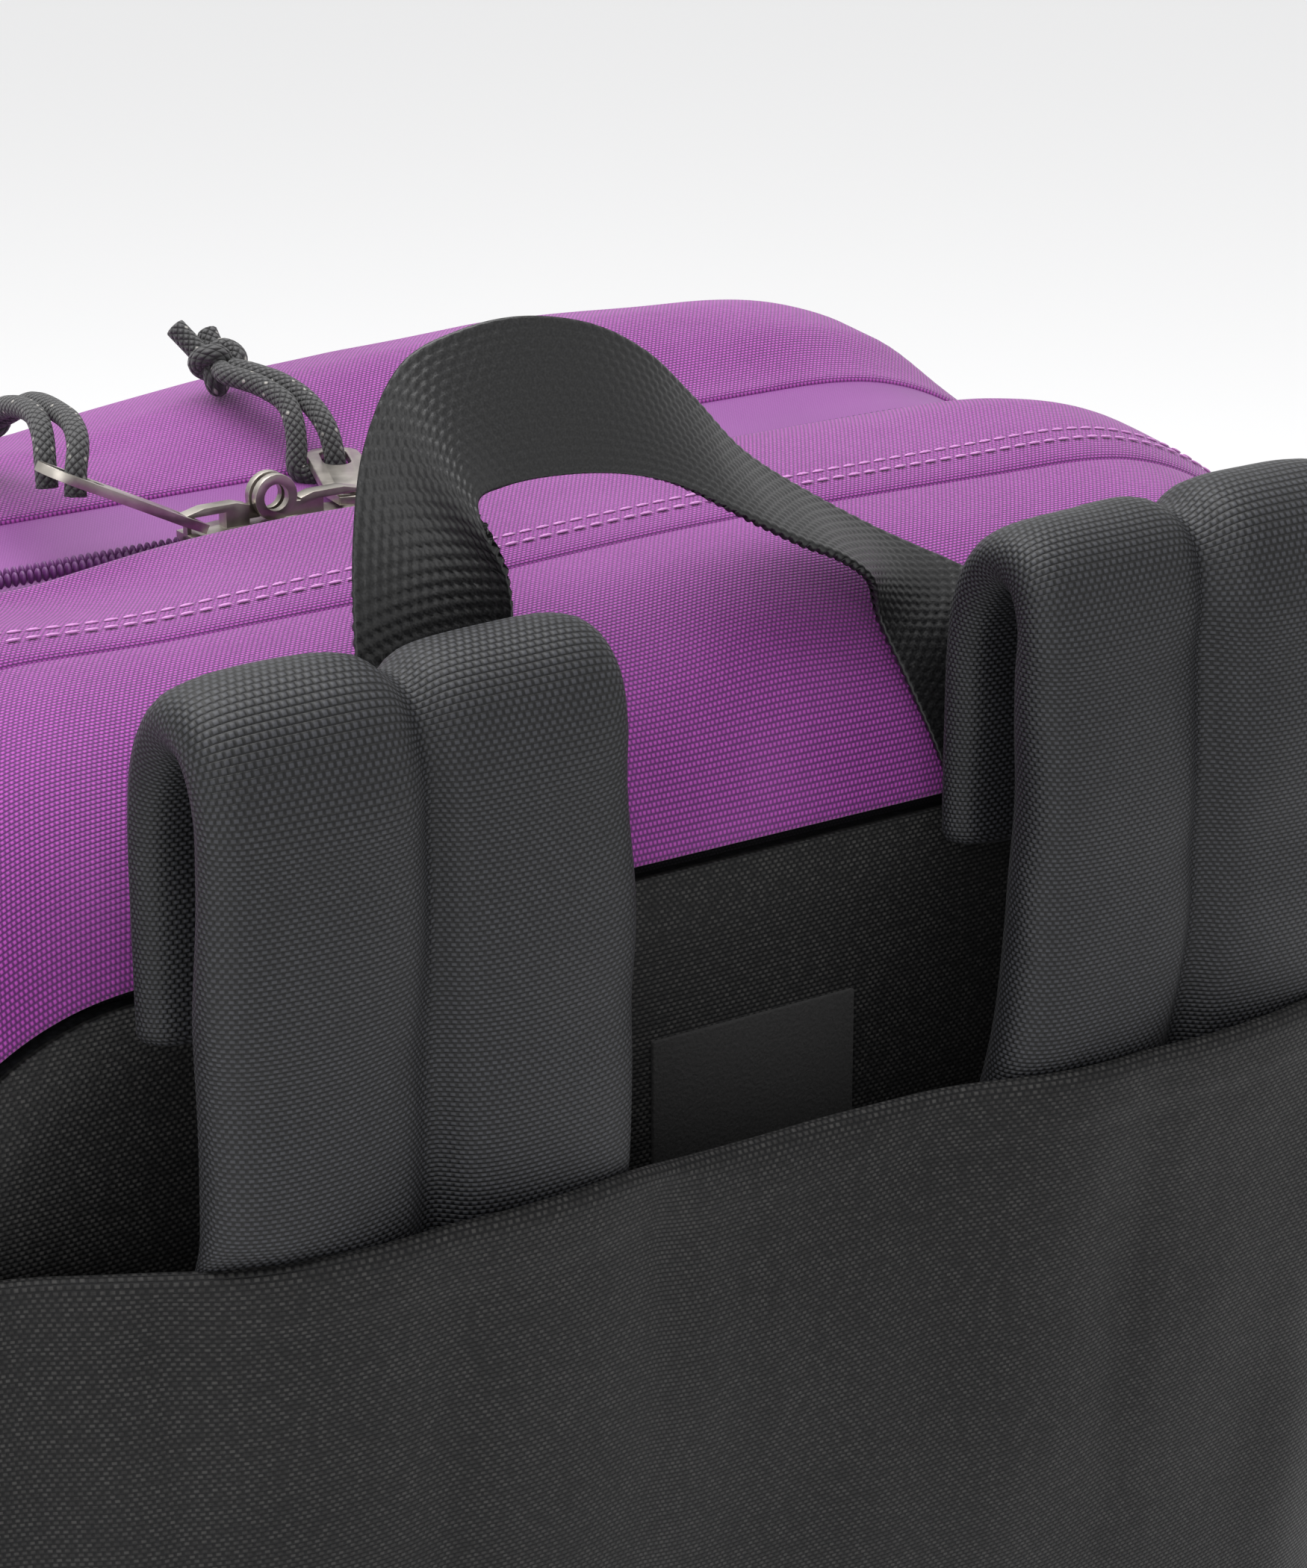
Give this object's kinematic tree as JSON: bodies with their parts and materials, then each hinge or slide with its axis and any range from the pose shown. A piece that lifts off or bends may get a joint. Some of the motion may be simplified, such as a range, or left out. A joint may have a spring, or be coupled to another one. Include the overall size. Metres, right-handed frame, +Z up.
{
  "type": "soft travel pack",
  "caption": "Soft-sided carry-on travel pack with stow-away shoulder straps, webbing grab handle, hinged zip-open front half and zipped front pocket.",
  "frame": {"origin": "on the flat base under the rear half, midway between the sides", "axes": "+Z up, +Y towards the back panel that the straps are sewn to, +X towards the wearer's left"},
  "size_m": [0.3516, 0.2599, 0.5424],
  "materials": {
    "purple_cloth": "woven polyester, matt",
    "black_cloth": "woven polyester, matt",
    "strap_cloth": "honeycomb-woven polyester, satin",
    "black_webbing": "chunky woven polypropylene webbing, glossy",
    "zip_tape": "woven zip tape",
    "zip_coil": "nylon coil",
    "hook_and_loop": "fuzzy hook-and-loop tape",
    "foam": "closed-cell foam",
    "board": "polyethylene sheet",
    "lining": "plain woven lining",
    "acetal": "moulded acetal",
    "antique_nickel": "antique nickel plating, worn bright on its edges",
    "braided_cord": "braided cord with pale flecks"
  },
  "bodies": {
    "bag": {"rear_shell": "purple_cloth", "back_panel": "black_cloth", "back_foam": "foam", "back_frame_sheet": "board", "back_lining": "lining", "base_board": "board", "rear_zip_coil": "zip_coil", "rear_zip_tape": "zip_tape", "zip_flap": "purple_cloth", "base_hinge_strip": "lining", "strap_pad_left": "strap_cloth", "strap_pad_right": "strap_cloth", "stow_pocket": "black_cloth", "hook_patch": "hook_and_loop", "loop_patch": "hook_and_loop", "strap_webbing_left": "black_webbing", "ladder_lock_left": "acetal", "anchor_webbing_left": "black_webbing", "strap_webbing_right": "black_webbing", "ladder_lock_right": "acetal", "anchor_webbing_right": "black_webbing", "handle_leg_left": "black_webbing", "handle_leg_right": "black_webbing", "side_handle": "black_webbing"},
    "front_panel": {"front_shell": "purple_cloth", "front_zip_band": "purple_cloth", "front_zip_coil": "zip_coil", "front_zip_tape": "zip_tape", "front_pocket": "purple_cloth", "pocket_zip_tape": "zip_tape", "pocket_zip_coil": "zip_coil", "pocket_zip_hood": "purple_cloth"},
    "grab_handle": {"handle_loop": "black_webbing"},
    "slider_left": {"slider_left": "antique_nickel"},
    "slider_right": {"slider_right": "antique_nickel"},
    "pull_left": {"pull_left": "antique_nickel", "pull_left_cord_a": "braided_cord", "pull_left_cord_b": "braided_cord", "pull_left_knot": "braided_cord"},
    "pull_right": {"pull_right": "antique_nickel", "pull_right_cord_a": "braided_cord", "pull_right_cord_b": "braided_cord", "pull_right_knot": "braided_cord"},
    "pocket_slider": {"pocket_slider": "antique_nickel"},
    "pull_pocket": {"pull_pocket": "antique_nickel", "pull_pocket_cord_a": "braided_cord", "pull_pocket_cord_b": "braided_cord", "pull_pocket_knot": "braided_cord"}
  },
  "joints": [
    {"name": "main_zip_left_travel", "type": "slide", "parent": "bag", "child": "slider_left", "axis": [1, 0, 0], "range_m": [0, 0.05]},
    {"name": "main_zip_right_travel", "type": "slide", "parent": "bag", "child": "slider_right", "axis": [-1, 0, 0], "range_m": [0, 0.114]},
    {"name": "pull_left_swing", "type": "hinge", "parent": "slider_left", "child": "pull_left", "pos_m": [0.04765, -0.035, 0.4955], "axis": [0, -1, 0], "range_deg": [-3, 90]},
    {"name": "pull_right_swivel", "type": "hinge", "parent": "slider_right", "child": "pull_right", "pos_m": [0.0174, -0.035, 0.4955], "axis": [0, 0, 1], "range_deg": [-65, 8]},
    {"name": "grab_handle_swing", "type": "hinge", "parent": "bag", "child": "grab_handle", "pos_m": [0, 0.047, 0.4855], "axis": [1, 0, 0], "range_deg": [-8, 12]},
    {"name": "front_panel_open", "type": "hinge", "parent": "bag", "child": "front_panel", "pos_m": [0, -0.035, 0], "axis": [1, 0, 0], "range_deg": [0, 170]},
    {"name": "pocket_zip_travel", "type": "slide", "parent": "front_panel", "child": "pocket_slider", "axis": [1, 0, 0], "range_m": [-0.026, 0.134]},
    {"name": "pull_pocket_swing", "type": "hinge", "parent": "pocket_slider", "child": "pull_pocket", "pos_m": [-0.062, -0.1636, 0.272], "axis": [0, 1, 0], "range_deg": [-30, 80]}
  ]
}
